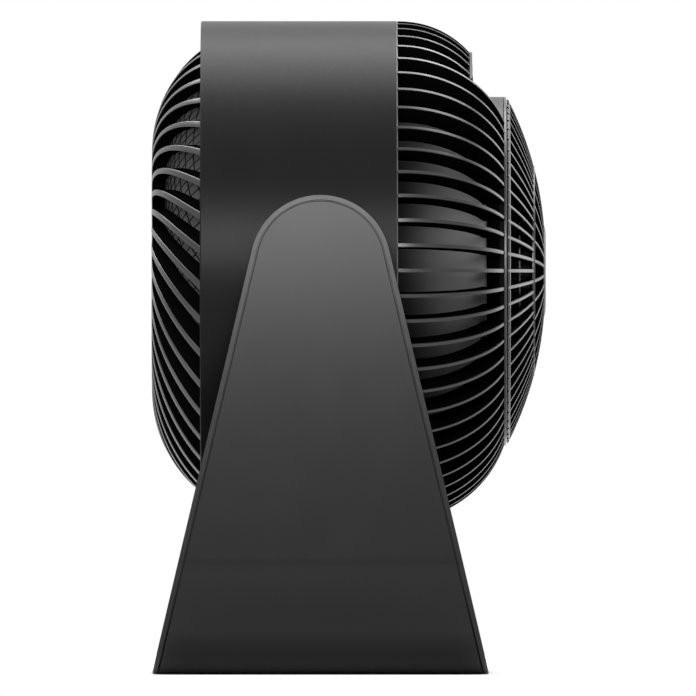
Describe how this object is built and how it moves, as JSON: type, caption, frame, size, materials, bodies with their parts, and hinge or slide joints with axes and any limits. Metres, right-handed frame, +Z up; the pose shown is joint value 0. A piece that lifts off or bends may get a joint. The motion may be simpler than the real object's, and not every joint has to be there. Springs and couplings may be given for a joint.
{
  "type": "fan heater",
  "caption": "Tabletop fan heater: a drum head with ribbed domed grilles, a fan and heating element inside, tilting between the legs of a U-shaped stand.",
  "frame": {"origin": "on the floor, straight under the middle of the tilt axis", "axes": "+Z up, X along the tilt axis, the front with the controls faces -Y"},
  "size_m": [0.288, 0.1972, 0.3262],
  "materials": {
    "drum_plastic": "fine satin moulded plastic, near black",
    "grille_plastic": "satin moulded plastic, near black",
    "panel_plastic": "satin moulded plastic, near black",
    "window_plastic": "polished dark plastic",
    "button_plastic": "soft satin plastic",
    "leg_plastic": "satin moulded plastic, dark grey rim",
    "cover_plastic": "fine satin moulded plastic, dark grey",
    "base_plastic": "textured moulded plastic",
    "screen_wire": "black coated wire mesh",
    "screen_mesh": "black woven filter mesh",
    "duct_paint": "dark grey painted sheet",
    "frame_plastic": "heat resistant moulded plastic",
    "fan_plastic": "satin moulded plastic",
    "heater_aluminium": "brazed fins",
    "steel": "plated steel",
    "core_iron": "stacked sheet iron",
    "winding_copper": "enamelled copper",
    "bearing_bronze": "sintered bronze",
    "washer_fibre": "pressed fibre",
    "bush_nylon": "white nylon",
    "board_green": "circuit board with solder resist",
    "foot_rubber": "matt rubber"
  },
  "bodies": {
    "stand": {"stand_yoke": "leg_plastic", "leg_cover_left": "cover_plastic", "leg_cover_right": "cover_plastic", "base_plate": "base_plastic", "rubber_feet": "foot_rubber", "base_screws": "steel", "cord_gland": "foot_rubber", "power_board": "board_green", "tilt_switch": "window_plastic", "pivot_bush_left": "bush_nylon", "pivot_bush_right": "bush_nylon"},
    "head": {"drum_housing": "drum_plastic", "front_grille": "grille_plastic", "centre_grille": "grille_plastic", "outlet_screen": "screen_wire", "control_panel": "panel_plastic", "display_window": "window_plastic", "control_board": "board_green", "rear_grille": "grille_plastic", "dust_screen": "screen_mesh", "inner_duct": "duct_paint", "heater_frame": "frame_plastic", "heater_bars": "heater_aluminium", "heater_fins": "heater_aluminium", "thermal_cutout": "window_plastic", "motor_mount": "frame_plastic", "motor_can": "steel", "motor_end_cap": "steel", "stator_core": "core_iron", "stator_windings": "winding_copper", "bearing_front": "bearing_bronze", "bearing_rear": "bearing_bronze", "pivot_pin_left": "steel", "pivot_pin_right": "steel", "friction_washer_left": "washer_fibre", "friction_washer_right": "washer_fibre"},
    "fan": {"motor_shaft": "steel", "rotor_core": "core_iron", "impeller": "fan_plastic", "impeller_nut": "steel"},
    "power_button": {"button_power": "button_plastic"},
    "heat_button": {"button_heat": "button_plastic"},
    "speed_button": {"button_speed": "button_plastic"},
    "timer_button": {"button_timer": "button_plastic"}
  },
  "joints": [
    {"name": "head_tilt", "type": "hinge", "parent": "stand", "child": "head", "pos_m": [0, 0, 0.201], "axis": [-1, 0, 0], "range_deg": [-15, 75]},
    {"name": "fan_spin", "type": "hinge", "parent": "head", "child": "fan", "pos_m": [0, 0, 0.201], "axis": [0, -1, 0], "continuous": true},
    {"name": "power_press", "type": "slide", "parent": "head", "child": "power_button", "axis": [0, 1, 0], "range_m": [0, 0.0008], "stiffness_N_per_m": 400, "springref_m": -0.001},
    {"name": "heat_press", "type": "slide", "parent": "head", "child": "heat_button", "axis": [0, 1, 0], "range_m": [0, 0.0008], "stiffness_N_per_m": 400, "springref_m": -0.001},
    {"name": "speed_press", "type": "slide", "parent": "head", "child": "speed_button", "axis": [0, 1, 0], "range_m": [0, 0.0008], "stiffness_N_per_m": 400, "springref_m": -0.001},
    {"name": "timer_press", "type": "slide", "parent": "head", "child": "timer_button", "axis": [0, 1, 0], "range_m": [0, 0.0008], "stiffness_N_per_m": 400, "springref_m": -0.001}
  ]
}
